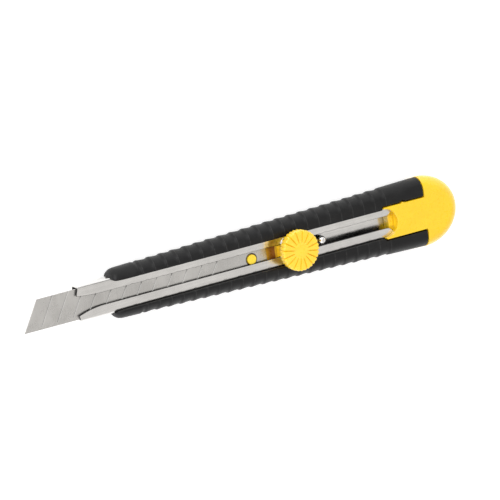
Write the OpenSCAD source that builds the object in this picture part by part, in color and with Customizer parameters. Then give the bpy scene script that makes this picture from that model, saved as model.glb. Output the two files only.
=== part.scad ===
// Snap-off utility knife for 9 mm segmented blades, with a thumb wheel that locks the blade.
// It lies on its back: X runs from the blade's tip (-X) to the end cap (+X), +Y is the side of the
// blade's spine, and +Z is the face with the slot and the wheel. The origin is below the middle of
// the whole knife, on the plane it lies on. Stations along the knife are counted from the blade's tip.

/* [Blade] */
// Length of a new blade
blade_l = 80; // [79:0.5:81]
// Width of the blade, from the cutting edge to the spine
blade_w = 9; // [8.8:0.1:9]
// Thickness of the blade
blade_t = 0.4; // [0.3:0.05:0.4]
// Width of the ground bevel along the cutting edge
bevel_w = 1; // [0.6:0.1:1.4]
// Distance between two score lines
segment_pitch = 5; // [4.6:0.1:5]
// Angle between a score line and the cutting edge
segment_angle = 60; // [58:1:62]
// Number of score lines
score_count = 12; // [8:1:12]
// Length of blade that stands out of the channel
blade_out = 17.2; // [14:0.1:19]

/* [Channel] */
// Length from the channel's front end to the end of the cap
body_l = 129.7; // [129:0.1:132]
// Width across the outside of the channel
channel_w = 10.5; // [10.4:0.1:10.6]
// Height of the channel, from its floor to the top of its lips
channel_h = 4; // [4:0.05:4.1]
// Thickness of the channel's steel
sheet_t = 0.55; // [0.5:0.05:0.55]
// Width of the slot between the two lips
slot_w = 3.7; // [3.6:0.1:4]

/* [Handle] */
// Thickness of the handle
handle_t = 7.5; // [7.3:0.1:7.8]
// Width of the handle at its front end
handle_front_w = 14.9; // [14.6:0.1:16]
// Width of the handle at its rear end
handle_rear_w = 21.5; // [20:0.1:21.6]
// Width of the opening between the two grips
grip_gap = 8.3; // [8.2:0.1:8.6]
// Number of ribs on each grip
rib_count = 22; // [12:1:22]
// Distance between two ribs
rib_pitch = 3.94; // [3.6:0.02:3.96]
// Depth of the valley between two ribs
rib_depth = 0.6; // [0.3:0.1:0.8]

/* [Lock wheel] */
// Diameter of the wheel
wheel_d = 12.2; // [11:0.1:13]
// Thickness of the wheel's rim
wheel_t = 2.6; // [2.2:0.1:3]
// Number of radial grooves on the wheel's face
groove_count = 16; // [8:1:20]
// Diameter of the threaded stud
stud_d = 3; // [2.5:0.1:3]

/* [End cap] */
// Length of the cap's rounded end
cap_l = 12.3; // [11:0.1:13]
// Width of the cap's rounded end
cap_w = 21.6; // [21.6:0.1:22.4]
// Width of the cap's tongue on the face of the knife
tongue_w = 9.8; // [9.6:0.1:10]
// Radius of the round notch in the tongue's front end
notch_r = 4.4; // [4:0.1:4.5]

/* [Hidden] */
$fn = 64;
over = 1;             // how far a cutter runs past what it cuts
half_turn = 180;

total_l = blade_out + body_l;

// Heights above the plane the knife lies on
floor_z = 1.8;                              // underside of the channel
cavity_z = floor_z + sheet_t;               // top of the channel's floor
lip_top = floor_z + channel_h;
lip_z = lip_top - sheet_t;                  // underside of the lips
blade_z = 4.5;                              // underside of the blade
flange_z = lip_top + 0.05;                  // underside of the grips' inner flanges

// Blade
half_blade = blade_w / 2;
tip_setback = blade_w / tan(segment_angle); // how far the spine starts behind the tip
score_size = 0.22;                          // side of the square cutter of a score line
peg_x = blade_l - 5.1;
peg_y = -0.5;                               // the hole lies a little towards the cutting edge
blade_hole_d = 3.4;
peg_d = 2.9;

// Channel
half_slot = slot_w / 2;
lips_rear = total_l - 23.4;
channel_rear = total_l - 13.2;
lip_corner_r = 1.6;
flare_l = 8.5;                              // length over which the slot widens at its front end
flare_spine_w = 0.65;                       // widening of the slot at its front end, on the spine's side
flare_edge_w = 1.5;                         // the same on the cutting edge's side
rake_l = 0.8;                               // how far the channel's sides start behind its lips
catch_first = 35;                           // station of the first click notch
catch_count = 17;
catch_depth = 0.15;
catch_r = 1.5;

// Handle
grip_front = blade_out + 11.5;
grip_rear = total_l - 12.5;
grip_l = grip_rear - grip_front;
side_r = handle_t / 2;                      // the handle's long sides are half-rounds
lower_setback = 1;                          // twice the lower grip's extra setback from the middle
taper = atan((handle_rear_w - handle_front_w) / 2 / grip_l);
nose_r = 2;                                 // rounding of the grips' front ends, seen on the face
nose_edge = 0.8;                            // bevel of the front ends, seen from the side
rib_first = 9.75;                           // from the grip's front end to its first crest
rib_rise = 0.8;                             // length of the steep side of a rib
core_front = grip_front + 0.8;
core_w = 12.4;
core_back_w = 9;
core_ledge_z = 1.3;
tongue_tip = total_l - 26.9;
pocket_x = tongue_tip - 0.4;                // from here on the grips make room for the cap's tongue
pocket_w = tongue_w + 0.8;

// Carrier, lock and click spring
wheel_x = peg_x + 13.2;
pin_x = wheel_x + 10.3;
carrier_front = peg_x - 3.9;
carrier_step = blade_l + 3.3;                // where the carrier rises behind the blade's tail
carrier_rear = wheel_x + 5.9;
carrier_w = 9;
carrier_z = cavity_z + 0.4;
carrier_seat_z = blade_z - 0.02;
carrier_top = lip_z - 0.15;
key_w = slot_w - 0.4;                       // the part of the carrier that runs in the slot
key_top = lip_top - 0.1;
plate_w = 8.2;
plate_t = 0.9;
plate_z = lip_z - 0.1 - plate_t;
plate_top = lip_z + 0.05;                   // top of the carrier's slit for the plate
washer_d = 7.8;
washer_t = 0.4;
washer_z = lip_top + 0.05;
hub_d = 7.4;
hub_z = washer_z + washer_t + 0.05;
rim_z = 9.3;
wheel_top = rim_z + wheel_t;
rim_chamfer = 0.35;
insert_d = 4.6;
insert_z = hub_z + 0.3;
insert_top = wheel_top - 1.1;
stud_top = insert_top - 0.4;
thread_gap = 0.05;                          // radial play of the stud in the insert
stud_end_gap = 0.1;                         // room above the stud's end in the insert
stud_clear = 0.4;                           // how much wider than the stud its clearance holes are
washer_clear = 0.2;                         // the same for the washer's hole
plate_gap = 0.1;                            // play of the plate along its slit
groove_from = 0.17;                         // where a groove starts, as a share of the wheel's diameter
groove_tilt = 4;                            // the grooves get deeper towards the rim
groove_side = 0.5;                          // side of the square cutter of a groove
rim_notch_r = 0.32;
rim_notch_out = 0.12;                       // how far outside the rim a notch's axis lies
leaf_t = 0.3;
leaf_z = carrier_z - leaf_t;
leaf_front = wheel_x - 4.6;
leaf_rear = pin_x + 2;
leaf_w = 6;
leaf_tail_w = 3.4;
leaf_stud_d = 1.6;
leaf_stud_gap = 3;                          // distance of the leaf's two studs from the wheel's axis
pin_d = 2.6;
pin_dome_z = lip_top + 0.2;

// End cap
cap_x = grip_rear + 0.2;
cap_edge_r = 3.7;
cap_layers = 8;                             // layers in each rounded edge of the cap
cap_layer_t = 0.02;
tongue_z = lip_top + 0.1;
plug_w = channel_w - 2 * sheet_t - 0.2;
plug_front = total_l - 24.6;
plug_step = lips_rear + 0.3;                // behind the lips the plug fills the whole height
plug_z = cavity_z + 0.1;
plug_lip_z = lip_z - 0.1;
bump_x = total_l - 20;
bump_r = 0.6;

// Moves a piece from the blade tip's station to the knife's own origin
module place() translate([-total_l / 2, 0, 0]) children();

// Extrudes an outline drawn in Y and Z along +X
module along_x(from, to) translate([from, 0, 0]) rotate([90, 0, 90]) linear_extrude(height = to - from)
    children();

// A block given by its ends along X, its full width about the middle plane and its heights
module block(from, to, width, low, high) translate([from, -width / 2, low])
    cube([to - from, width, high - low]);

// A round post or bore that stands on the middle plane
module post(x, d, low, high) translate([x, 0, low]) cylinder(d = d, h = high - low);

function arc(cx, cy, r, from, to, steps) = [for (i = [0:steps])
    let (a = from + (to - from) * i / steps) [cx + r * cos(a), cy + r * sin(a)]];

// Blade: a strip with a two-sided bevel, a slanted tip, score lines and a hole near its tail
module blade() color("silver") place() difference() {
    intersection() {
        along_x(0, blade_l) polygon([
            [-half_blade, blade_z + blade_t / 2],
            [-half_blade + bevel_w, blade_z],
            [half_blade, blade_z],
            [half_blade, blade_z + blade_t],
            [-half_blade + bevel_w, blade_z + blade_t]]);
        translate([0, 0, blade_z - over]) linear_extrude(height = blade_t + 2 * over) polygon([
            [0, -half_blade],
            [blade_l, -half_blade],
            [blade_l, half_blade],
            [tip_setback, half_blade]]);
    }
    for (i = [1:score_count]) score_line(i * segment_pitch);
    translate([0, peg_y, 0]) post(peg_x, blade_hole_d, blade_z - over, blade_z + blade_t + over);
}

module score_line(x) translate([x, -half_blade, blade_z + blade_t]) rotate([0, 0, segment_angle])
    translate([bevel_w / sin(segment_angle), 0, 0]) rotate([45, 0, 0])
        translate([0, -score_size / 2, -score_size / 2]) cube([blade_w * 2, score_size, score_size]);

// Channel: a folded steel strip whose two lips leave a slot along its whole face
module blade_channel() color("gainsboro") place() difference() {
    along_x(blade_out, channel_rear) channel_section();
    for (side = [0, 1]) mirror([0, side, 0]) {
        slot_flare(side == 0 ? flare_spine_w : flare_edge_w);
        front_rake(side == 0 ? flare_spine_w : flare_edge_w);
        lip_end();
    }
    for (i = [0:catch_count - 1]) translate([catch_first + i * segment_pitch, half_slot, lip_z])
        translate([0, catch_depth - catch_r, -over]) cylinder(r = catch_r, h = sheet_t + 2 * over);
}

module channel_section() difference() {
    translate([-channel_w / 2, floor_z]) square([channel_w, channel_h]);
    translate([-channel_w / 2 + sheet_t, cavity_z]) square([channel_w - 2 * sheet_t, lip_z - cavity_z]);
    translate([-half_slot, cavity_z]) square([slot_w, channel_h]);
}

// Widens one side of the slot towards the channel's front end, along a parabola
module slot_flare(flare_w) translate([blade_out, half_slot, lip_z - over])
    linear_extrude(height = sheet_t + 2 * over) polygon(concat(
        [[flare_l, -over / 4], [-over, -over / 4], [-over, flare_w]],
        [for (i = [0:6]) [flare_l * i / 6, flare_w * pow(1 - i / 6, 2)]]));

// Slants the front end back from the lip's corner to the channel's side
module front_rake(flare_w) translate([blade_out, 0, floor_z - over])
    linear_extrude(height = channel_h + 2 * over) polygon([
        [-over, half_slot + flare_w],
        [0, half_slot + flare_w],
        [rake_l, channel_w / 2 + over / 4],
        [-over, channel_w / 2 + over / 4]]);

// Takes the lip away behind its rear end and rounds the corner beside the slot
module lip_end() translate([lips_rear, 0, lip_z]) {
    translate([0, -over / 4, -over / 4]) cube([channel_rear, channel_w / 2 - sheet_t + over / 4, over]);
    translate([-lip_corner_r, 0, -over / 4]) difference() {
        translate([0, half_slot - over / 4, 0])
            cube([lip_corner_r + over / 4, lip_corner_r + over / 4, over]);
        translate([0, half_slot + lip_corner_r, -over]) cylinder(r = lip_corner_r, h = 3 * over);
    }
}

// Core: the hard inner frame that holds the channel and carries the grips
module handle_core() color("dimgray") place() difference() {
    union() {
        block(core_front, grip_rear, core_back_w, 0, core_ledge_z);
        block(core_front, grip_rear, core_w, core_ledge_z, lip_top);
    }
    block(core_front - over, grip_rear + over, channel_w, floor_z, lip_top + over);
}

// Outline of a ribbed side: radius against length, from the grip's front end to its rear end
function rib_crest(i) = rib_first + i * rib_pitch;
ribs = concat(
    [[side_r, rib_first - 2 * rib_rise], [side_r - rib_depth, rib_first - rib_rise]],
    [for (i = [0:rib_count - 2]) each [
        [side_r, rib_crest(i)],
        [side_r - rib_depth, rib_crest(i + 1) - rib_rise]]],
    [[side_r, rib_crest(rib_count - 1)], [side_r, grip_l + over], [0, grip_l + over]]);
rod_side = concat([[0, 0]], arc(side_r - nose_r, nose_r, nose_r, -90, 0, 8), ribs);
slab_side = concat([[0, 0]], arc(side_r - nose_edge, nose_edge, nose_edge, -90, 0, 4), ribs);

// One grip: a ribbed half-round side with a ribbed slab behind it, cut to fit the core and, on the
// face, cut back to an opening of its own width
module grip(gap) difference() {
    translate([grip_front, handle_front_w / 2 - side_r, side_r]) rotate([0, 0, taper]) {
        rotate([0, 90, 0]) rotate_extrude(angle = half_turn) polygon(rod_side);
        rotate([90, 0, 0]) linear_extrude(height = handle_rear_w / 2) polygon(concat(
            [for (p = slab_side) [p[1], p[0]]],
            [for (i = [len(slab_side) - 2:-1:1]) [slab_side[i][1], -slab_side[i][0]]]));
    }
    block(core_front, total_l, core_back_w, -over, core_ledge_z + over / 4);
    block(core_front, total_l, core_w, core_ledge_z, lip_top);
    block(0, core_front + over / 4, channel_w, floor_z, lip_top);
    block(0, core_front + over / 4, grip_gap, -over, floor_z + over / 4);
    block(0, total_l, gap, lip_top - over, handle_t + over);
    block(0, total_l, channel_w, lip_top - over, flange_z);
    block(pocket_x, total_l, pocket_w, lip_top - over, handle_t + over);
    block(grip_rear, total_l, 2 * handle_rear_w, -over, handle_t + over);
    translate([0, -2 * handle_rear_w, -over]) cube([total_l, 2 * handle_rear_w, handle_t + 2 * over]);
}

module grip_upper() color([0.16, 0.16, 0.17]) place() grip(grip_gap);

module grip_lower() color([0.16, 0.16, 0.17]) place() mirror([0, 1, 0]) grip(grip_gap + lower_setback);

// End cap: a rounded end with a tongue over the face and a plug that pushes into the channel
module end_cap() color("gold") place() {
    difference() {
        union() {
            cap_dome();
            block(tongue_tip, cap_x + over, tongue_w, tongue_z, handle_t);
            block(plug_step, cap_x + over, plug_w, plug_z, handle_t);
            translate([bump_x, tongue_w / 2 - bump_r / 2, tongue_z])
                cylinder(r = bump_r, h = handle_t - tongue_z);
            block(plug_front, cap_x + over, plug_w, plug_z, plug_lip_z);
            block(plug_front, cap_x + over, key_w, plug_z, tongue_z + over / 2);
        }
        post(tongue_tip, 2 * notch_r, tongue_z - over / 4, handle_t + over);
    }
}

function cap_outline(inset) = let (
    a = cap_l - inset,
    b = cap_w / 2 - inset) [for (i = [0:36]) let (t = -90 + half_turn * i / 36) [a * cos(t), b * sin(t)]];

module cap_layer(z, inset) translate([cap_x, 0, z]) linear_extrude(height = cap_layer_t)
    polygon(cap_outline(inset));

module cap_dome() hull() for (i = [0:cap_layers]) {
    turn = 90 * i / cap_layers;
    inset = cap_edge_r * (1 - sin(turn));
    rise = cap_edge_r * (1 - cos(turn));
    cap_layer(rise, inset);
    cap_layer(handle_t - rise - cap_layer_t, inset);
}

// Carrier: slides in the channel, holds the blade by a peg and the lock screw's plate in a slit
module blade_carrier() color("gold") place() difference() {
    union() {
        block(carrier_front, carrier_rear, carrier_w, carrier_z, carrier_seat_z);
        block(carrier_step, carrier_rear, carrier_w, carrier_z, carrier_top);
        block(carrier_step, carrier_rear, key_w, carrier_z, key_top);
        translate([0, peg_y, 0]) post(peg_x, peg_d, carrier_z, lip_z);
        for (side = [-1, 1]) post(wheel_x + side * leaf_stud_gap, leaf_stud_d, leaf_z, carrier_z + leaf_t);
    }
    block(wheel_x - plate_w / 2 - plate_gap, wheel_x + plate_w / 2 + plate_gap, carrier_w + over,
        plate_z, plate_top);
    post(wheel_x, stud_d + stud_clear, plate_z, lip_top);
}

// Click spring: a steel leaf under the carrier that carries the click pin on its tail
module click_spring() color("lightsteelblue") place() difference() {
    union() {
        block(leaf_front, carrier_rear, leaf_w, leaf_z, carrier_z);
        block(carrier_rear - over, leaf_rear, leaf_tail_w, leaf_z, carrier_z);
    }
    for (side = [-1, 1]) post(wheel_x + side * leaf_stud_gap, leaf_stud_d, leaf_z - over, carrier_z + over);
}

// Click pin: a domed steel pin that stands up through the slot behind the wheel
module click_pin() color("silver") place() translate([pin_x, 0, carrier_z]) rotate_extrude()
    polygon(concat(
        [[0, 0], [pin_d / 2, 0]],
        arc(0, pin_dome_z - carrier_z, pin_d / 2, 0, 90, 12)));

// Clamp screw: a square plate under the lips with a stud up through the slot
module clamp_screw() color("silver") place() {
    block(wheel_x - plate_w / 2, wheel_x + plate_w / 2, plate_w, plate_z, plate_z + plate_t);
    post(wheel_x, stud_d, plate_z, stud_top);
}

module clamp_washer() color("silver") place() difference() {
    post(wheel_x, washer_d, washer_z, washer_z + washer_t);
    post(wheel_x, stud_d + washer_clear, washer_z - over, washer_z + washer_t + over);
}

// Wheel: a grooved disc on a narrower hub, with a pocket for its threaded insert
module lock_wheel() color("yellow") place() translate([wheel_x, 0, 0]) difference() {
    rotate_extrude() polygon([
        [0, hub_z],
        [hub_d / 2, hub_z],
        [hub_d / 2, rim_z],
        [wheel_d / 2 - rim_chamfer, rim_z],
        [wheel_d / 2, rim_z + rim_chamfer],
        [wheel_d / 2, wheel_top - rim_chamfer],
        [wheel_d / 2 - rim_chamfer, wheel_top],
        [0, wheel_top]]);
    cylinder(d = stud_d + stud_clear, h = insert_z + over / 4);
    translate([0, 0, insert_z]) cylinder(d = insert_d, h = insert_top - insert_z);
    for (i = [0:groove_count - 1]) rotate([0, 0, 360 * i / groove_count]) wheel_groove();
    for (i = [0:2 * groove_count - 1]) rotate([0, 0, 360 * (i + 0.5) / groove_count / 2]) rim_notch();
}

module wheel_groove() translate([wheel_d * groove_from, 0, wheel_top]) rotate([0, groove_tilt, 0])
    rotate([45, 0, 0]) translate([0, -groove_side / 2, -groove_side / 2])
        cube([wheel_d / 2, groove_side, groove_side]);

module rim_notch() translate([wheel_d / 2 + rim_notch_out, 0, rim_z - over])
    cylinder(r = rim_notch_r, h = wheel_t + 2 * over);

module wheel_insert() color("goldenrod") place() difference() {
    post(wheel_x, insert_d, insert_z, insert_top);
    post(wheel_x, stud_d + 2 * thread_gap, insert_z - over,
        stud_top + stud_end_gap);
}

blade();
blade_channel();
handle_core();
grip_upper();
grip_lower();
end_cap();
blade_carrier();
click_spring();
click_pin();
clamp_screw();
clamp_washer();
lock_wheel();
wheel_insert();
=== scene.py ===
"""A snap-off knife: detailed pieces, materials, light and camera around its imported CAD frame."""

import math

import bmesh
import bpy
from mathutils import Matrix, Vector


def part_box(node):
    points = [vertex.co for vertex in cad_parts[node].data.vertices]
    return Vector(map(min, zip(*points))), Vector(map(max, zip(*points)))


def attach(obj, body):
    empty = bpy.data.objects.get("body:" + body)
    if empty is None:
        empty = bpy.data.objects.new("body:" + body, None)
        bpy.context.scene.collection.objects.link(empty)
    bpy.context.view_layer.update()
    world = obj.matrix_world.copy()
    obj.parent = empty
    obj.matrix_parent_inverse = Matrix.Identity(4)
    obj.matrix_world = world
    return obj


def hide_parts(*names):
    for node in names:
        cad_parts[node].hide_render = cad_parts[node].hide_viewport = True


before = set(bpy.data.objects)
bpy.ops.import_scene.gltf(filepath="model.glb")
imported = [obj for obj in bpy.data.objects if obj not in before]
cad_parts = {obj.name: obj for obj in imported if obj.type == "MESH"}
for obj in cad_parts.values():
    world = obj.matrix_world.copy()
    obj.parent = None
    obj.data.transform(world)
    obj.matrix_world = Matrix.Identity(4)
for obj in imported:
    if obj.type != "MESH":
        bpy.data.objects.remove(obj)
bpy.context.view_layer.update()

# ---------------------------------------------------------------- sizes, in millimetres

MM = 0.001
TAU = 2 * math.pi
SPINE_SIDE, EDGE_SIDE = 1, -1     # the sides of the blade's spine and of its cutting edge


def box_mm(node):
    """A CAD node's lowest and highest corner, in millimetres."""
    low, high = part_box(node)
    return low / MM, high / MM


blade_lo = box_mm("blade")[0]
channel_lo, channel_hi = box_mm("blade_channel")
grip_lo, grip_hi = box_mm("grip_upper")
core_lo, core_hi = box_mm("handle_core")
cap_hi = box_mm("end_cap")[1]
wheel_lo, wheel_hi = box_mm("lock_wheel")
insert_lo, insert_hi = box_mm("wheel_insert")

handle_t = grip_hi.z
side_r = handle_t / 2             # the handle's long sides are half-rounds
mid_z = side_r


def station(x):
    """A place along the knife, counted from the blade's tip, as a frame coordinate."""
    return blade_lo.x + x


# Every place along the knife below is a station, and every half width is counted from the middle plane.
BEVEL_W = 1.0                     # width of the blade's ground bevel
SCORE_PITCH, SCORE_ANGLE, SCORE_COUNT = 5.0, 60, 12
PEG_X, PEG_Y, PEG_R, HOLE_R = 74.9, -0.5, 1.45, 1.70
RECESS_FROM, RECESS_DEEP, RECESS_TO = 79.5, 82.0, 83.15   # the carrier's low part behind the blade's tail

SHEET = 0.55                      # thickness of the channel's steel
SHEET_EDGE = 0.09                 # rounding of its cut edges
BEND_OUT = {SPINE_SIDE: 0.65, EDGE_SIDE: 1.1}
BEND_IN = 0.20
HALF_SLOT = 1.85
LIP_SHADE_X = 24.0                # from here on the blade's lower part lies in the shade of a lip
FLARE_L = 8.5
FLARE_W = {SPINE_SIDE: 0.65, EDGE_SIDE: 1.5}              # widening of the slot's front end on each side
RAKE, RAKE_L = 0.8, 3             # how far the front end slants back, and the length that slants with it
CATCH_FIRST, CATCH_PITCH, CATCH_COUNT, CATCH_DEPTH, CATCH_R = 35.0, 5.0, 17, 0.15, 1.5
LIPS_REAR = 123.5
LIP_CORNER = 2.3                  # rounding of the lips' rear corners
LIP_STUB = 4.10                   # half the opening behind the lips

FRONT_HALF_W = 7.45
REAR_HALF_W = grip_hi.y
RIB_FIRST, RIB_PITCH, RIB_COUNT = 38.45, 3.94, 22
RIB_DEPTH, RIB_RISE = 0.30, 0.22  # rise is the share of a rib's pitch that its steep side takes
RIB_LEAD, RIB_SWELL = 0.5, 1.2    # length of the first valley in pitches, and the power of the others
RIB_SHARE_IN, RIB_SHARE_OUT = 0.15, 0.40                  # share of the depth at the face's two edges
RIB_OVER_TURN, RIB_UNDER_TURN = 0.5, 1.2                  # where it fades over and under the side
NOSE_L, NOSE_W = 2.4, 1.5         # the nose's rounding, seen on the face
NOSE_SIDE_L, NOSE_Z = 1.5, 0.9    # the same, seen from the side
GRIP_EDGE, GRIP_REAR = 0.35, 0.25                         # rounding of the inner edges and of the rear end
INNER_HALF = {SPINE_SIDE: grip_lo.y, EDGE_SIDE: grip_lo.y + 0.5}
INNER_FLARE, INNER_FLARE_L = 0.2, 5
INNER_ROUND, INNER_ROUND_L = 0.5, 1.1
GRIP_POINTS = 46
GRIP_GAP = 0.02                   # play between a grip and the channel
FLANGE_GAP = 0.05                 # the same over the channel's lips
CORE_BACK_HALF, CORE_LEDGE = 4.5, 1.3
POCKET_X, POCKET_HALF = 119.6, 5.3
BUMP_X, BUMP_R, BUMP_ROOM = 126.9, 0.6, 0.25              # the cap's side bump, and its play in the grip
BUMP_SINK = 0.75                  # depth of the grip's hollow for it, as a share of its radius
INNER_STEP = 0.4                  # half the height of the slanting inner side, which the cuts take away
CLOSEST = 0.012                   # least distance between two sections of a grip

GROOVES, RIM_LOBES = 16, 32
HUB_R, HUB_EDGE, STUD_BORE_R = 3.7, 0.2, 1.7
RIM_Z, RIM_INNER_R = 9.3, 5.2
RIM_LOW_EDGE, RIM_ROUND = 0.3, 0.5                        # the rim's lower bevel and its upper rounding
RIM_R = (wheel_hi.x - wheel_lo.x) / 2
WHEEL_X = (wheel_lo.x + wheel_hi.x) / 2
FACE_RADII = (5.6, 5.45, 5.2, 4.9, 4.6, 4.2, 3.8, 3.4, 3.0, 2.7, 2.4, 2.2, 2.0, 1.4, 0.7)
LOBES_FROM, LOBES_OVER, LOBE_DEPTH, LOBE_POWER = 4.6, 0.9, 0.26, 0.8
GROOVE_FROM, GROOVE_OVER, GROOVE_DEPTH = 1.7, 1.4, 0.45   # each groove deepens from a radius, over a length
GROOVE_IN, GROOVE_HALF, GROOVE_WIDENS, GROOVE_WIDE_AT = 2.0, 0.13, 0.15, 4.0
STEPS_A_GROOVE = 24

DOME_X = 134.6
TONGUE_X, TONGUE_HALF, TONGUE_LOW = 120.0, 4.9, 5.9
TONGUE_CORNER, TONGUE_EDGE = 0.5, 0.25
NOTCH_R = 4.4
PLUG_X, PLUG_STEP = 122.3, 123.8
# The plug's blocks overlap inside the cap. Each has a front and rear station, half width, low and high z.
PLUG_BLOCKS = {
    "plug_body": (PLUG_X, DOME_X + 1.0, 4.6, channel_lo.z + SHEET + 0.1, 5.15),
    "plug_key": (PLUG_X, DOME_X + 1.0, 1.65, 3.0, 5.3),
    "plug_key_step": (PLUG_X + 0.75, DOME_X + 1.1, 1.65, 3.1, 5.5),
    "plug_neck": (PLUG_STEP, DOME_X + 1.2, 4.2, 2.9, 6.2)}

# ---------------------------------------------------------------- curves


def lerp(a, b, t):
    return a + (b - a) * t


def clamp01(t):
    return min(max(t, 0.0), 1.0)


def smoothstep(t):
    t = clamp01(t)
    return t * t * (3 - 2 * t)


def round_in(distance, length, depth):
    """How far a surface has drawn in, at a distance from an end that is rounded over a length."""
    if distance >= length:
        return 0.0
    t = 1 - distance / length
    return depth * (1 - math.sqrt(max(0.0, 1 - t * t)))


def arc(across, up, r, turns):
    """Points at some turns round a centre, in degrees from the across direction."""
    return [(across + r * math.cos(math.radians(t)), up + r * math.sin(math.radians(t))) for t in turns]


# ---------------------------------------------------------------- meshes


def mesh_object(name, vertices, faces):
    """A new object from vertices in millimetres."""
    mesh = bpy.data.meshes.new(name)
    mesh.from_pydata([(x * MM, y * MM, z * MM) for x, y, z in vertices], [], faces)
    mesh.validate()
    obj = bpy.data.objects.new(name, mesh)
    bpy.context.scene.collection.objects.link(obj)
    return obj


def loft(name, rings):
    """A closed skin over rings of equal size, each a list of points, with a flat face on each end."""
    count = len(rings[0])
    vertices = [p for ring in rings for p in ring]
    faces = []
    for k in range(len(rings) - 1):
        for i in range(count):
            j = (i + 1) % count
            faces.append((k * count + i, k * count + j, (k + 1) * count + j, (k + 1) * count + i))
    last = (len(rings) - 1) * count
    faces.append(tuple(reversed(range(count))))
    faces.append(tuple(last + i for i in range(count)))
    return mesh_object(name, vertices, faces)


def block(name, low, high):
    """A plain box, used to join to or cut from another piece."""
    ring = [(low[1], low[2]), (high[1], low[2]), (high[1], high[2]), (low[1], high[2])]
    return loft(name, [[(x, y, z) for y, z in ring] for x in (low[0], high[0])])


def turned(name, centre, profile, steps=72):
    """A closed turned piece from a profile of radii and heights."""
    turns = [TAU * k / steps for k in range(steps)]
    return loft(name, [[(centre[0] + r * math.cos(t), centre[1] + r * math.sin(t), z) for t in turns]
                       for r, z in profile])


def face_outwards(obj):
    """Turns every face so that its normal points out of the closed skin."""
    work = bmesh.new()
    work.from_mesh(obj.data)
    bmesh.ops.recalc_face_normals(work, faces=work.faces)
    work.to_mesh(obj.data)
    work.free()


def combine(obj, others, operation):
    """Joins the others to obj, or cuts them from it, and keeps the mesh that this makes."""
    for other in others:
        face_outwards(other)
        step = obj.modifiers.new("combine", "BOOLEAN")
        step.operation = operation
        step.solver = "EXACT"
        step.object = other
    graph = bpy.context.evaluated_depsgraph_get()
    mesh = bpy.data.meshes.new_from_object(obj.evaluated_get(graph))
    obj.modifiers.clear()
    old, obj.data = obj.data, mesh
    bpy.data.meshes.remove(old)
    for other in others:
        bpy.data.objects.remove(other)


def shade(obj, material, sharp):
    """Gives a piece its one material, and smooth shading up to an angle in degrees."""
    obj.data.materials.clear()
    obj.data.materials.append(material)
    for polygon in obj.data.polygons:
        polygon.use_smooth = True
    obj.data.set_sharp_from_angle(angle=math.radians(sharp))


def finish_piece(obj, body, material, node, sharp):
    """Shades a piece and puts it on its body in place of its CAD node."""
    shade(obj, material, sharp)
    weighted = obj.modifiers.new("weighted_normal", "WEIGHTED_NORMAL")
    weighted.keep_sharp = True
    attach(obj, body)
    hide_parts(node)


# ---------------------------------------------------------------- shader nodes


def feed(tree, node, inputs):
    """Gives a node's inputs their values, or links other nodes' sockets to them."""
    for key, value in inputs.items():
        if isinstance(value, bpy.types.NodeSocket):
            tree.links.new(value, node.inputs[key])
        else:
            node.inputs[key].default_value = value


def add(tree, kind, settings, inputs):
    """A node with its settings and its inputs, which are told by name or by number."""
    made = tree.nodes.new(kind)
    for key, value in settings.items():
        setattr(made, key, value)
    feed(tree, made, inputs)
    return made


def position(tree, scale=(1, 1, 1)):
    """The piece's own coordinates in metres, stretched."""
    place = add(tree, "ShaderNodeTexCoord", {}, {}).outputs["Object"]
    return add(tree, "ShaderNodeMapping", {}, {"Vector": place, "Scale": scale}).outputs["Vector"]


def split(tree, vector):
    """The three parts of a vector."""
    return add(tree, "ShaderNodeSeparateXYZ", {}, {"Vector": vector}).outputs[:3]


def noise(tree, vector, scale, detail=3, roughness=0.5):
    return add(tree, "ShaderNodeTexNoise", {}, {"Vector": vector, "Scale": scale, "Detail": detail,
                                                "Roughness": roughness}).outputs["Fac"]


def maths(tree, operation, a, b=0.0):
    return add(tree, "ShaderNodeMath", {"operation": operation}, {0: a, 1: b}).outputs[0]


def times(tree, first, *others):
    """The product of some values."""
    for other in others:
        first = maths(tree, "MULTIPLY", first, other)
    return first


def ramp(tree, value, low, high, to_low, to_high):
    """Maps a value from one span to another, smoothly and with its ends held."""
    return add(tree, "ShaderNodeMapRange", {"interpolation_type": "SMOOTHSTEP"},
               {0: value, 1: low, 2: high, 3: to_low, 4: to_high}).outputs[0]


def rises(tree, place, low, high):
    """0 up to one place and 1 from another on, with both places in millimetres."""
    return ramp(tree, place, low * MM, high * MM, 0, 1)


def falls(tree, place, low, high):
    """1 up to one place and 0 from another on, with both places in millimetres."""
    return ramp(tree, place, low * MM, high * MM, 1, 0)


def off_axis(tree, x, y, centre):
    """Distance of a place from an upright axis, whose x and y are in millimetres."""
    across, up = maths(tree, "SUBTRACT", x, centre[0] * MM), maths(tree, "SUBTRACT", y, centre[1] * MM)
    flat = add(tree, "ShaderNodeCombineXYZ", {}, {"X": across, "Y": up}).outputs[0]
    return add(tree, "ShaderNodeVectorMath", {"operation": "LENGTH"}, {0: flat}).outputs["Value"]


def off_lines(tree, along, pitch):
    """How far a place is from the nearest of evenly spaced lines, as a share of their pitch."""
    return maths(tree, "PINGPONG", maths(tree, "DIVIDE", along, pitch * MM), 0.5)


def blend(tree, factor, first, second):
    """A mix of two colours, each a socket or three values."""
    colours = [c if isinstance(c, bpy.types.NodeSocket) else (*c, 1) for c in (first, second)]
    return add(tree, "ShaderNodeMix", {"data_type": "RGBA"},
               {0: factor, 6: colours[0], 7: colours[1]}).outputs[2]


def bump(tree, height, depth_mm, strength, under=None):
    """A bumpy normal, laid over the one under it if there is one."""
    made = add(tree, "ShaderNodeBump", {},
               {"Height": height, "Strength": strength, "Distance": depth_mm * MM})
    if under is not None:
        tree.links.new(under, made.inputs["Normal"])
    return made.outputs["Normal"]


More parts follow.
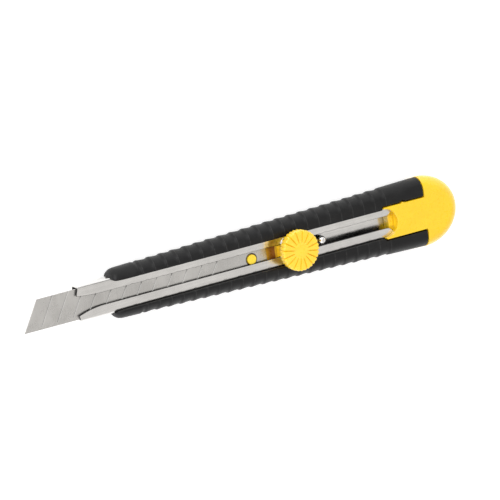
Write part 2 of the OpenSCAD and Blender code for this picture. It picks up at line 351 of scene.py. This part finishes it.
def new_material(name):
    """A material with a Principled shader, its node tree and that shader."""
    material = bpy.data.materials.new(name)
    material.use_nodes = True
    return material, material.node_tree, material.node_tree.nodes["Principled BSDF"]


# ---------------------------------------------------------------- materials


def yellow_plastic(name, pale, warm, marks_and_painted_shade=None):
    """Moulded yellow plastic: a fine mould texture, faint flow marks, soft gloss and any marks and painted
    shade it is given.
    """
    material, tree, shader = new_material(name)
    place = position(tree)
    flow = noise(tree, position(tree, (1, 2.2, 1)), 160, 4)
    grain = noise(tree, place, 9000, 2)
    marks = noise(tree, place, 900, 5, 0.7)
    colour = blend(tree, ramp(tree, flow, 0.35, 0.65, 0, 1), warm, pale)
    if marks_and_painted_shade:
        colour = marks_and_painted_shade(tree, colour)
    feed(tree, shader, {
        "Base Color": colour,
        "Roughness": ramp(tree, marks, 0.3, 0.75, 0.24, 0.38),
        "Normal": bump(tree, grain, 0.012, 0.5, bump(tree, marks, 0.02, 0.25)),
        "IOR": 1.49,
        "Coat Weight": 0.5,
        "Coat Roughness": 0.2,
        "Subsurface Weight": 0.12,
        "Subsurface Radius": (1.0, 0.6, 0.1),
        "Subsurface Scale": 0.0012})
    return material


def carrier_painted_shade(tree, colour):
    """The peg is pale, with painted shade round it in the blade's hole and painted shade in the recess
    behind the blade's tail.
    """
    x, y, z = split(tree, position(tree))
    away = off_axis(tree, x, y, (station(PEG_X), PEG_Y))
    top = blade_lo.z
    # Painted shade: a dark ring on the carrier in the gap between the peg and the blade's hole.
    ring = times(tree, rises(tree, away, PEG_R, PEG_R + 0.04), falls(tree, away, PEG_R + 0.4, PEG_R + 0.7),
                 falls(tree, z, top, top + 0.05))
    colour = blend(tree, falls(tree, away, PEG_R, PEG_R + 0.04), colour, (0.90, 0.64, 0.03))
    colour = blend(tree, ring, colour, (0.06, 0.025, 0.003))
    # Painted shade in the recess behind the blade's tail, deepening towards its rear.
    deepening = ramp(tree, x, station(RECESS_FROM) * MM, station(RECESS_DEEP) * MM, 0.35, 1)
    recess = times(tree, deepening, falls(tree, x, station(RECESS_TO), station(RECESS_TO) + 0.1),
                   falls(tree, z, top + 0.1, top + 0.3))
    return blend(tree, recess, colour, (0.20, 0.065, 0.008))


def grip_rubber():
    """Soft-touch black elastomer: a dense fine grain, dulled and faintly worn, with a painted highlight and
    faint wear along the ribs' crests.
    """
    material, tree, shader = new_material("grip_rubber")
    place = position(tree)
    grain = noise(tree, place, 7000, 3, 0.6)
    cloud = noise(tree, place, 240, 5, 0.6)
    dust = noise(tree, position(tree, (0.4, 1.4, 1.4)), 1500, 6, 0.75)
    worn = ramp(tree, times(tree, cloud, dust), 0.22, 0.42, 0, 1)
    matt = blend(tree, worn, (0.0042, 0.0042, 0.0045), (0.0085, 0.0083, 0.0083))
    x = split(tree, place)[0]
    first = station(RIB_FIRST)
    last = station(RIB_FIRST + (RIB_COUNT - 1) * RIB_PITCH)
    off_crest = off_lines(tree, maths(tree, "SUBTRACT", x, first * MM), RIB_PITCH)
    # Painted highlight and faint wear: thin lighter lines along the ribs' crests, patchy with dust.
    crest_wear_and_highlight = times(tree, ramp(tree, off_crest, 0.012, 0.045, 1, 0), ramp(tree, dust, 0.35, 0.65, 0.15, 1),
                  rises(tree, x, first - 0.3, first), falls(tree, x, last, last + 0.3))
    feed(tree, shader, {
        "Base Color": blend(tree, crest_wear_and_highlight, matt, (0.030, 0.030, 0.030)),
        "Roughness": ramp(tree, cloud, 0.3, 0.7, 0.40, 0.50),
        "Normal": bump(tree, grain, 0.03, 0.6, bump(tree, dust, 0.02, 0.3)),
        "Specular IOR Level": 0.28})
    return material


def core_plastic():
    """Hard black plastic with a spark-eroded mould texture."""
    material, tree, shader = new_material("core_plastic")
    place = position(tree)
    pits = add(tree, "ShaderNodeTexVoronoi", {}, {"Vector": place, "Scale": 4200}).outputs["Distance"]
    cloud = noise(tree, place, 300, 4)
    feed(tree, shader, {
        "Base Color": blend(tree, cloud, (0.020, 0.020, 0.021), (0.032, 0.031, 0.031)),
        "Roughness": ramp(tree, cloud, 0.3, 0.7, 0.42, 0.56),
        "Normal": bump(tree, pits, 0.03, 0.5)})
    return material


def steel(name, colour, roughness, grain, scratch=0.5, smears=0.5, marks_and_painted_shade=None):
    """Bare steel with a directional grain, scratches, faint handling marks and any marks and painted shade
    it is given.
    """
    material, tree, shader = new_material(name)
    brushed = noise(tree, position(tree, grain), 260, 4, 0.6)
    lines = noise(tree, position(tree, grain), 60, 6, 0.8)
    cloud = noise(tree, position(tree), 130, 5, 0.65)
    light = tuple(min(1.0, c * 1.06) for c in colour)
    dark = tuple(c * 0.88 for c in colour)
    tone = maths(tree, "ADD", times(tree, cloud, smears), times(tree, lines, 1 - smears))
    finish = blend(tree, ramp(tree, tone, 0.35, 0.65, 0, 1), dark, light)
    if marks_and_painted_shade:
        finish = marks_and_painted_shade(tree, finish)
    feed(tree, shader, {
        "Base Color": finish,
        "Roughness": ramp(tree, cloud, 0.3, 0.7, roughness * 0.8, roughness * 1.3),
        "Normal": bump(tree, brushed, 0.004, 0.35, bump(tree, lines, 0.008, scratch)),
        "Metallic": 1.0})
    return material


def dark_inside(tree, finish):
    """The channel's inside and cut edges are painted dark as shade, and the bend on the edge's side is left
    out of it.
    """
    low, high, wall = channel_lo.z + SHEET + 0.1, channel_hi.z - 0.03, channel_hi.y - 0.5
    y, z = split(tree, position(tree))[1:]
    # Painted shade on the inside and the slot's cut edges, between the floor and the lips' tops.
    inside = times(tree, falls(tree, maths(tree, "ABSOLUTE", y), wall, wall + 0.02),
                   rises(tree, z, low, low + 0.1), falls(tree, z, high, high + 0.02))
    bend_y, bend_z = BEND_OUT[EDGE_SIDE] - channel_hi.y, channel_hi.z - 0.35
    unshaded_bend = times(tree, falls(tree, y, bend_y, bend_y + 0.05), rises(tree, z, bend_z, bend_z + 0.05))
    painted_shade_inside = times(tree, inside, maths(tree, "SUBTRACT", 1.0, unshaded_bend))
    return blend(tree, painted_shade_inside, finish, (0.035, 0.033, 0.031))


def dark_scores(tree, finish):
    """The blade is dark in its score lines, with painted shade in them under the channel's lip and a ring
    of painted shade round its hole.
    """
    x, y = split(tree, position(tree))[:2]
    slant = maths(tree, "MULTIPLY", maths(tree, "SUBTRACT", y, blade_lo.y * MM),
                  1 / math.tan(math.radians(SCORE_ANGLE)))
    along = maths(tree, "SUBTRACT", maths(tree, "SUBTRACT", x, blade_lo.x * MM), slant)
    off_score = off_lines(tree, along, SCORE_PITCH)
    line = times(tree, ramp(tree, off_score, 0.012, 0.040, 0.55, 0),
                 rises(tree, along, 0.5 * SCORE_PITCH, 0.6 * SCORE_PITCH),
                 falls(tree, along, (SCORE_COUNT + 0.4) * SCORE_PITCH, (SCORE_COUNT + 0.5) * SCORE_PITCH),
                 rises(tree, y, blade_lo.y + BEVEL_W - 0.1, blade_lo.y + BEVEL_W))
    finish = blend(tree, line, finish, (0.20, 0.195, 0.19))
    # Painted shade: the score lines go darker where the channel's lip shades the blade.
    under_lip = times(tree, falls(tree, y, -HALF_SLOT - 0.1, -HALF_SLOT),
                      rises(tree, x, station(LIP_SHADE_X), station(LIP_SHADE_X + 1)))
    lip_shade_in_scores = times(tree, ramp(tree, off_score, 0.040, 0.060, 0.95, 0), under_lip)
    finish = blend(tree, lip_shade_in_scores, finish, (0.05, 0.048, 0.045))
    # Painted shade: a dark ring on the blade round its hole, where the carrier's peg stands.
    away = off_axis(tree, x, y, (station(PEG_X), PEG_Y))
    hole_shade = ramp(tree, away, (HOLE_R + 0.12) * MM, (HOLE_R + 0.28) * MM, 0.9, 0)
    return blend(tree, hole_shade, finish, (0.05, 0.04, 0.03))


def brass():
    """Turned brass with fine rings round the wheel's axis."""
    material, tree, shader = new_material("brass")
    rings = add(tree, "ShaderNodeTexWave", {"wave_type": "BANDS", "bands_direction": "Z"},
                {"Vector": position(tree), "Scale": 1800.0, "Distortion": 0.4}).outputs["Fac"]
    cloud = noise(tree, position(tree), 500, 4)
    feed(tree, shader, {
        "Base Color": blend(tree, cloud, (0.70, 0.50, 0.18), (0.83, 0.64, 0.29)),
        "Roughness": ramp(tree, cloud, 0.3, 0.7, 0.22, 0.36),
        "Normal": bump(tree, rings, 0.01, 0.4),
        "Metallic": 1.0})
    return material


def floor_paper():
    """Matt white paper over a light table, with a barely visible tooth."""
    material, tree, shader = new_material("studio_paper")
    place = position(tree)
    cloud = noise(tree, place, 3, 3)
    feed(tree, shader, {
        "Base Color": blend(tree, cloud, (0.80, 0.80, 0.80), (0.82, 0.82, 0.82)),
        "Emission Color": (1, 1, 1, 1),
        "Emission Strength": 0.4,
        "Normal": bump(tree, noise(tree, place, 900, 2), 0.02, 0.2),
        "Roughness": 0.9,
        "Specular IOR Level": 0.1})
    return material


GRAIN_ALONG, GRAIN_ACROSS = (1.0, 45.0, 45.0), (45.0, 1.2, 45.0)   # along and across the knife
cap_yellow = yellow_plastic("cap_yellow", (0.85, 0.545, 0.008), (0.83, 0.520, 0.006))
wheel_yellow = yellow_plastic("wheel_yellow", (0.90, 0.595, 0.034), (0.88, 0.565, 0.026))
# The carrier's yellow is painted darker and more orange than the cap's: painted shade for its place down in
# the slot.
carrier_yellow = yellow_plastic("carrier_yellow", (0.80, 0.47, 0.012), (0.76, 0.43, 0.009), carrier_painted_shade)
rubber = grip_rubber()
core_black = core_plastic()
channel_steel = steel("channel_steel", (0.78, 0.77, 0.75), 0.20, GRAIN_ALONG, marks_and_painted_shade=dark_inside)
blade_steel = steel("blade_steel", (0.62, 0.61, 0.59), 0.26, GRAIN_ACROSS, 0.6, 0.6, dark_scores)
spring_steel = steel("spring_steel", (0.55, 0.55, 0.56), 0.30, GRAIN_ALONG)
plated_steel = steel("plated_steel", (0.80, 0.79, 0.77), 0.12, GRAIN_ALONG, 0.2, 0.7)
brass_metal = brass()

# ---------------------------------------------------------------- channel


def lip_edge(x, side):
    """Distance of a lip's slot edge from the middle, at a place along the knife."""
    edge = HALF_SLOT
    from_front = x - channel_lo.x
    if from_front < FLARE_L:
        edge += FLARE_W[side] * (1 - from_front / FLARE_L) ** 2
    if side == SPINE_SIDE:
        for i in range(CATCH_COUNT):
            off = abs(x - station(CATCH_FIRST + i * CATCH_PITCH))
            if off < CATCH_R:
                edge = max(edge, HALF_SLOT + CATCH_DEPTH - CATCH_R + math.sqrt(CATCH_R ** 2 - off ** 2))
    to_rear = station(LIPS_REAR) - x
    if to_rear <= 0:
        edge = LIP_STUB
    elif to_rear < LIP_CORNER:
        edge += round_in(to_rear, LIP_CORNER, LIP_STUB - HALF_SLOT)
    return edge


def bent_sheet(edge, edge_z, wall, top, low, r):
    """One face of half the bent sheet, from the lip's edge round two bends to the floor's middle."""
    points = [(edge, edge_z), (edge + SHEET_EDGE, top), (lerp(edge, wall - r, 0.5), top)]
    points += arc(wall - r, top - r, r, [90 - 15 * i for i in range(7)])
    points += arc(wall - r, low + r, r, [-15 * i for i in range(7)])
    return points + [(2.0, low), (0.0, low)]


def channel_half(edge, r):
    """Outer and inner points of half the channel's section."""
    wall, top, low = channel_hi.y, channel_hi.z, channel_lo.z
    in_top = top - SHEET
    outer = bent_sheet(edge, top - SHEET_EDGE, wall, top, low, r)
    in_r = max(BEND_IN, r - SHEET)
    inner = bent_sheet(edge, in_top + SHEET_EDGE, wall - SHEET, in_top, low + SHEET, in_r)
    return outer, inner


def channel_ring(x):
    """The whole section: the outer skin from lip to lip, then the inner one."""
    skins = []
    for upper, lower in zip(channel_half(lip_edge(x, SPINE_SIDE), BEND_OUT[SPINE_SIDE]),
                            channel_half(lip_edge(x, EDGE_SIDE), BEND_OUT[EDGE_SIDE])):
        skins += upper + [(-y, z) for y, z in reversed(lower[:-1])]
    return skins


def channel_places():
    """Where along the knife the channel's section changes."""
    lips_rear = station(LIPS_REAR)
    xs = {channel_lo.x, channel_hi.x, lips_rear + 0.02, lips_rear}
    xs |= {channel_lo.x + FLARE_L * i / 16 for i in range(17)}
    catch_half = math.sqrt(CATCH_R ** 2 - (CATCH_R - CATCH_DEPTH) ** 2)
    for i in range(CATCH_COUNT):
        middle = station(CATCH_FIRST + i * CATCH_PITCH)
        xs |= {middle + catch_half * k / 4 for k in range(-4, 5)}
    xs |= {lips_rear - LIP_CORNER * (1 - math.sin(math.radians(90 * i / 12))) for i in range(12)}
    return sorted(xs)


def raked(x, y):
    """A place along the knife, moved back where the front end slants from the lip's corner to the side."""
    corner = HALF_SLOT + FLARE_W[SPINE_SIDE if y > 0 else EDGE_SIDE]
    fade = clamp01(1 - (x - channel_lo.x) / RAKE_L)
    return x + RAKE * fade * clamp01((abs(y) - corner) / (channel_hi.y - corner))


def make_channel():
    rings = [[(raked(x, y), y, z) for y, z in channel_ring(x)] for x in channel_places()]
    ring = len(rings[0])
    size = ring // 2
    last = (len(rings) - 1) * ring
    faces = []
    for a in range(0, last, ring):
        b = a + ring
        for i in range(size - 1):
            faces.append((a + i, a + i + 1, b + i + 1, b + i))
            faces.append((a + size + i + 1, a + size + i, b + size + i, b + size + i + 1))
        faces.append((a + size, a, b, b + size))
        faces.append((a + size - 1, a + ring - 1, b + ring - 1, b + size - 1))
    for i in range(size - 1):
        faces.append((i, i + 1, size + i + 1, size + i))
    for i in range(size - 1):
        faces.append((last + size + i, last + size + i + 1, last + i + 1, last + i))
    obj = mesh_object("channel", [p for points in rings for p in points], faces)
    face_outwards(obj)
    finish_piece(obj, "handle", channel_steel, "blade_channel", 40)


make_channel()

# ---------------------------------------------------------------- grips


def rib_valley(x):
    """Depth of the ribbed surface under its crests: a slow fall, then a steep rise to the next crest."""
    along = (x - station(RIB_FIRST)) / RIB_PITCH
    if along < -RIB_LEAD or along > RIB_COUNT - 1:
        return 0.0
    phase = along - math.floor(along)
    if phase >= 1 - RIB_RISE:
        return RIB_DEPTH * (1 - smoothstep((phase - 1 + RIB_RISE) / RIB_RISE))
    if along < 0:
        return RIB_DEPTH * smoothstep((along + RIB_LEAD) / (RIB_LEAD - RIB_RISE))
    return RIB_DEPTH * math.sin(math.pi / 2 * phase / (1 - RIB_RISE)) ** RIB_SWELL


def inner_edge(x, side):
    """Distance of a grip's inner edge from the middle, with room for the cap's tongue and its bump."""
    from_front = x - grip_lo.x
    if x <= station(POCKET_X):
        flare = INNER_FLARE * (1 - clamp01(from_front / INNER_FLARE_L)) ** 2
        return INNER_HALF[side] + flare + round_in(from_front, INNER_ROUND_L, INNER_ROUND)
    off = abs(x - station(BUMP_X)) / (BUMP_R + BUMP_ROOM)
    if side == SPINE_SIDE and off < 1:
        return POCKET_HALF + BUMP_SINK * math.sqrt(1 - off ** 2) * BUMP_R
    return POCKET_HALF


def grip_ring(x, side):
    """One closed section of a grip, before the room for the channel and the core is cut from it."""
    from_front, to_rear = x - grip_lo.x, grip_hi.x - x
    rear = round_in(to_rear, GRIP_REAR, GRIP_REAR)
    centre = lerp(FRONT_HALF_W, REAR_HALF_W, from_front / (grip_hi.x - grip_lo.x)) - side_r
    a = side_r - round_in(from_front, NOSE_L, NOSE_W) - rear
    b = side_r - round_in(from_front, NOSE_SIDE_L, NOSE_Z) - rear
    edge = inner_edge(x, side) + rear
    valley = rib_valley(x)
    start_y, end_y = edge + GRIP_EDGE, CORE_BACK_HALF + GRIP_EDGE

    def arc_angle(y):
        return math.acos(clamp01((y - centre) / a)) if y > centre else math.pi / 2

    # The path runs over the flat face, round the long side and back along the flat back.
    start, end = arc_angle(start_y), arc_angle(end_y)
    top_l, bottom_l = max(0.0, centre - start_y), max(0.0, centre - end_y)
    round_l = side_r * (start + end)
    total = top_l + round_l + bottom_l
    path = []
    for i in range(GRIP_POINTS):
        along = total * i / (GRIP_POINTS - 1)
        if along < top_l:
            fade = lerp(RIB_SHARE_IN, RIB_SHARE_OUT, smoothstep(along / max(top_l, 0.01)))
            path.append((start_y + along, mid_z + b - valley * fade))
        elif along <= top_l + round_l:
            turn = start - (along - top_l) / side_r
            fade = smoothstep((turn + math.pi / 2) / RIB_UNDER_TURN)
            sunk = valley * fade * (1 - (1 - RIB_SHARE_OUT) * smoothstep(turn - RIB_OVER_TURN))
            path.append((centre + (a - sunk) * math.cos(turn), mid_z + (b - sunk) * math.sin(turn)))
        else:
            path.append((centre - (along - total + bottom_l), mid_z - b))
    top_z, low_z = path[0][1], path[-1][1]
    ring = [(edge, mid_z + INNER_STEP), (edge, top_z - GRIP_EDGE)]
    ring += arc(start_y, top_z - GRIP_EDGE, GRIP_EDGE, (157.5, 135, 112.5))
    ring += path
    ring += arc(end_y, low_z + GRIP_EDGE, GRIP_EDGE, (225, 180))
    ring.append((CORE_BACK_HALF, mid_z - INNER_STEP))
    return [(x, side * y, z) for y, z in ring]


def grip_places():
    """Where along the knife a grip's sections stand, closest at its ends and at the bump's hollow."""
    xs = {grip_lo.x + NOSE_L * (1 - math.cos(math.radians(90 * i / 14))) for i in range(15)}
    x = grip_lo.x + NOSE_L
    while x < grip_hi.x - 0.3:
        xs.add(x)
        x += RIB_PITCH / 12
    xs |= {grip_hi.x - GRIP_REAR * (1 - math.sin(math.radians(90 * i / 4))) for i in range(5)}
    xs |= {station(POCKET_X) - 0.02, station(POCKET_X) + 0.02}
    xs |= {station(BUMP_X) + (BUMP_R + BUMP_ROOM) * math.sin(math.radians(15 * i)) for i in range(-6, 7)}
    xs = sorted(xs)
    return [v for i, v in enumerate(xs) if i == 0 or v - xs[i - 1] > CLOSEST]


def make_grip(name, node, side):
    obj = loft(name, [grip_ring(x, side) for x in grip_places()])
    face_outwards(obj)
    front, rear = grip_lo.x - 5, grip_hi.x + 5
    half = channel_hi.y + GRIP_GAP
    high = channel_hi.z + FLANGE_GAP
    channel_cut = block("cut_channel", (front, -half, channel_lo.z), (rear, half, high))
    core_cut = block("cut_core", (core_lo.x, -core_hi.y, CORE_LEDGE), (rear, core_hi.y, channel_hi.z))
    combine(obj, [channel_cut, core_cut], "DIFFERENCE")
    finish_piece(obj, "handle", rubber, node, 50)


make_grip("grip_spine_side", "grip_upper", SPINE_SIDE)
make_grip("grip_edge_side", "grip_lower", EDGE_SIDE)

# ---------------------------------------------------------------- wheel


def wheel_profile():
    """Radius, height and the share of the rim's lobes there, from the insert's pocket round to the face."""
    top, low = wheel_hi.z, wheel_lo.z
    pocket_r = (insert_hi.x - insert_lo.x) / 2
    smooth = [(0.0, insert_hi.z), (pocket_r, insert_hi.z), (pocket_r, insert_lo.z),
              (STUD_BORE_R, insert_lo.z), (STUD_BORE_R, low),
              (HUB_R - HUB_EDGE, low), (HUB_R, low + HUB_EDGE), (HUB_R, RIM_Z - RIM_ROUND)]
    smooth += arc(HUB_R + RIM_ROUND, RIM_Z - RIM_ROUND, RIM_ROUND, (150, 120, 90))
    smooth.append((RIM_INNER_R, RIM_Z))
    bevel = RIM_LOW_EDGE
    lobed = [(RIM_R - bevel, RIM_Z), (RIM_R - 0.3 * bevel, RIM_Z + 0.3 * bevel), (RIM_R, RIM_Z + bevel),
             (RIM_R, (RIM_Z + bevel + top - RIM_ROUND) / 2), (RIM_R, top - RIM_ROUND)]
    lobed += arc(RIM_R - RIM_ROUND, top - RIM_ROUND, RIM_ROUND, (18, 36, 54, 72))
    face = [(r, top, clamp01((r - LOBES_FROM) / LOBES_OVER)) for r in FACE_RADII]
    return [(r, z, 0) for r, z in smooth] + [(r, z, 1) for r, z in lobed] + face + [(0.0, top, 0)]


def groove_cut(r, angle):
    """Depth of the face's radial grooves at a radius and an angle."""
    phase = (angle * GROOVES / TAU) % 1 - 0.5
    across = phase * TAU / GROOVES * r
    half = GROOVE_HALF + GROOVE_WIDENS * clamp01((r - GROOVE_IN) / GROOVE_WIDE_AT)
    return GROOVE_DEPTH * smoothstep((r - GROOVE_FROM) / GROOVE_OVER) * (1 - smoothstep(abs(across) / half))


def wheel_row(r, z, lobed):
    """The wheel's points at one radius and height."""
    turns = GROOVES * STEPS_A_GROOVE
    grooved = r > GROOVE_IN and z > max(RIM_Z + 1, insert_hi.z + 0.2)
    row = []
    for i in range(turns):
        angle = TAU * i / turns
        radius = r - LOBE_DEPTH * lobed * (1 - abs(math.sin(RIM_LOBES / 2 * angle)) ** LOBE_POWER)
        height = z - groove_cut(r, angle) if grooved else z
        row.append((WHEEL_X + radius * math.cos(angle), radius * math.sin(angle), height))
    return row


def make_wheel():
    rows = [[(WHEEL_X, 0.0, z)] if r == 0.0 else wheel_row(r, z, lobed) for r, z, lobed in wheel_profile()]
    turns = len(rows[1])
    vertices, faces, first = [], [], 0
    for low, high in zip(rows, rows[1:]):
        second = first + len(low)
        for i in range(turns):
            j = (i + 1) % turns
            if len(low) == 1:
                faces.append((first, second + j, second + i))
            elif len(high) == 1:
                faces.append((first + i, first + j, second))
            else:
                faces.append((first + i, first + j, second + j, second + i))
        first = second
    for row in rows:
        vertices += row
    obj = mesh_object("thumb_wheel", vertices, faces)
    face_outwards(obj)
    finish_piece(obj, "wheel", wheel_yellow, "lock_wheel", 42)


make_wheel()

# ---------------------------------------------------------------- end cap


def make_dome():
    """The rounded end: a flattened half-ellipse whose edge is a half-round all the way."""
    x0 = station(DOME_X)
    length, half = cap_hi.x - x0, cap_hi.y
    rings = []
    for i in range(25):
        lift = math.radians(-90 + 180 * i / 24)
        inset = side_r * (1 - math.cos(lift))
        z = mid_z + side_r * math.sin(lift)
        a, b = length - inset, half - inset
        rings.append([(x0 + a * math.cos(math.radians(t)), b * math.sin(math.radians(t)), z)
                      for t in [-90 + 180 * k / 72 for k in range(73)]])
    dome = loft("cap_dome", rings)
    face_outwards(dome)
    return dome


def slab_outline(low, high, corner, inset):
    """A rectangle with rounded corners, drawn in by an inset."""
    left, right = low[0] + corner, high[0] - corner
    near, far = low[1] + corner, high[1] - corner
    points = []
    for cx, cy, start in ((right, far, 0), (left, far, 90), (left, near, 180), (right, near, 270)):
        points += arc(cx, cy, corner - inset, [start + 15 * k for k in range(7)])
    return points


def rounded_slab(name, low, high, corner, soft, z_low, z_high):
    """A slab with rounded corners in plan and a rounded top edge."""
    rings = [[(x, y, z_low) for x, y in slab_outline(low, high, corner, 0.0)]]
    for k in range(5):
        turn = math.radians(22.5 * k)
        z = z_high - soft + soft * math.sin(turn)
        rings.append([(x, y, z) for x, y in slab_outline(low, high, corner, soft * (1 - math.cos(turn)))])
    return loft(name, rings)


def edge_rounding(r, top, soft, out):
    """The top of a profile, whose edge flares or closes over a soft rounding."""
    turns = [math.radians(22.5 * k) for k in range(5)]
    return [(r + out * soft * (1 - math.cos(t)), top - soft + soft * math.sin(t)) for t in turns]


def make_tongue():
    x0, soft = station(TONGUE_X), TONGUE_EDGE
    slab = rounded_slab("cap_tongue", (x0, -TONGUE_HALF), (station(DOME_X) + 1.5, TONGUE_HALF),
                        TONGUE_CORNER, soft, TONGUE_LOW, handle_t)
    face_outwards(slab)
    bump_part = turned("cap_bump", (station(BUMP_X), TONGUE_HALF - BUMP_R / 2),
                       [(BUMP_R, TONGUE_LOW + 0.05)] + edge_rounding(BUMP_R, handle_t - 0.02, 0.2, -1), 32)
    combine(slab, [bump_part], "UNION")
    notch = turned("cap_notch", (x0, 0.0), [(NOTCH_R, TONGUE_LOW - 1)]
                   + edge_rounding(NOTCH_R, handle_t, soft, 1) + [(NOTCH_R + soft + 0.01, handle_t + 1)])
    combine(slab, [notch], "DIFFERENCE")
    return slab


def make_cap():
    cap = make_dome()
    parts = [make_tongue()]
    for name, (front, rear, half, low, high) in PLUG_BLOCKS.items():
        parts.append(block(name, (station(front), -half, low), (station(rear), half, high)))
    combine(cap, parts, "UNION")
    cap.name = "rounded_end_cap"
    finish_piece(cap, "cap", cap_yellow, "end_cap", 38)


make_cap()

# ---------------------------------------------------------------- pieces kept from the CAD

# Each node's material, and the softness of its moulded or turned edges, if it has any.
KEPT_NODES = {
    "blade": (blade_steel, None),
    "handle_core": (core_black, 0.12),
    "blade_carrier": (carrier_yellow, 0.12),
    "click_spring": (spring_steel, None),
    "click_pin": (plated_steel, None),
    "clamp_screw": (plated_steel, 0.12),
    "clamp_washer": (plated_steel, 0.06),
    "wheel_insert": (brass_metal, 0.08)}


def dress_node(name, material, edge):
    """Gives a CAD node its finish, and softens its edges if it has a moulded or turned edge."""
    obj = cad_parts[name]
    shade(obj, material, 30)
    if edge:
        bevel = obj.modifiers.new("soft_edge", "BEVEL")
        bevel.width = edge * MM
        bevel.segments = 3
        bevel.limit_method = "ANGLE"
        bevel.angle_limit = math.radians(50)
        bevel.harden_normals = True


for name, (material, edge) in KEPT_NODES.items():
    dress_node(name, material, edge)

# ---------------------------------------------------------------- studio

FLOOR_HALF = 2500.0
LENS, CAMERA_DISTANCE = 226.3, 0.9186
CAMERA_RIGHT, CAMERA_BACK = (0.8603, -0.1312, 0.4926), (-0.4548, 0.2391, 0.8579)
LOOK_AT = (1.35, 2.38, 5.0)
MIRRORED = (-CAMERA_BACK[0], -CAMERA_BACK[1], CAMERA_BACK[2])     # where flat steel mirrors the camera to
WALL_LIGHT, CEILING_LIGHT = 1.25, 0.80
CARD_X, CARD_DARKNESS = 0.455, 0.85


def make_floor():
    low, high = -FLOOR_HALF, FLOOR_HALF
    corners = [(low, low, 0), (high, low, 0), (high, high, 0), (low, high, 0)]
    floor = mesh_object("floor", corners, [(0, 1, 2, 3)])
    floor.data.materials.append(floor_paper())


def make_light(name, place, size, power):
    """A square soft light that faces the knife."""
    light = bpy.data.lights.new(name, "AREA")
    light.shape = "RECTANGLE"
    light.size = light.size_y = size
    light.energy = power
    obj = bpy.data.objects.new(name, light)
    obj.location = place
    obj.rotation_euler = (-Vector(place)).to_track_quat("-Z", "Y").to_euler()
    bpy.context.scene.collection.objects.link(obj)


def make_world():
    """A white light tent: a greyer ceiling for the flat steel, and a dark card for the channel's bend."""
    world = bpy.data.worlds.new("studio")
    world.use_nodes = True
    tree = world.node_tree
    direction = add(tree, "ShaderNodeTexCoord", {}, {}).outputs["Generated"]
    facing = add(tree, "ShaderNodeVectorMath", {"operation": "DOT_PRODUCT"},
                 {0: direction, 1: MIRRORED}).outputs["Value"]
    warm = ramp(tree, facing, 0.55, 0.97, 0.0, 1.0)
    light = ramp(tree, facing, 0.50, 0.96, WALL_LIGHT, CEILING_LIGHT)
    x, y, z = split(tree, direction)
    aside = maths(tree, "ABSOLUTE", maths(tree, "SUBTRACT", x, CARD_X))
    card = times(tree, ramp(tree, aside, 0.09, 0.16, 1, 0), ramp(tree, y, 0.30, 0.38, 0, 1),
                 ramp(tree, y, 0.66, 0.74, 1, 0), ramp(tree, z, 0.0, 0.2, 0, 1))
    beside_card = maths(tree, "SUBTRACT", 1.0, times(tree, card, CARD_DARKNESS))
    feed(tree, tree.nodes["Background"], {
        "Color": blend(tree, warm, (1.0, 1.0, 1.0), (0.975, 0.955, 0.935)),
        "Strength": times(tree, light, beside_card)})
    bpy.context.scene.world = world


def make_camera():
    """Looks down on the knife's face from the blade's end, a little from the spine's side."""
    data = bpy.data.cameras.new("camera")
    data.sensor_width = 36
    data.lens = LENS
    data.clip_start, data.clip_end = 0.05, 20
    camera = bpy.data.objects.new("camera", data)
    back = Vector(CAMERA_BACK).normalized()
    up = back.cross(Vector(CAMERA_RIGHT).normalized()).normalized()
    right = up.cross(back)
    turn = Matrix((right, up, back)).transposed().to_4x4()
    camera.matrix_world = Matrix.Translation(Vector(LOOK_AT) * MM + back * CAMERA_DISTANCE) @ turn
    bpy.context.scene.collection.objects.link(camera)
    bpy.context.scene.camera = camera


make_floor()
make_world()
make_light("key", (-0.45, 0.95, 0.95), 0.8, 7.0)
make_light("fill", (-0.75, -0.75, 0.9), 1.0, 3.0)
make_camera()
bpy.context.scene.view_settings.view_transform = "Standard"
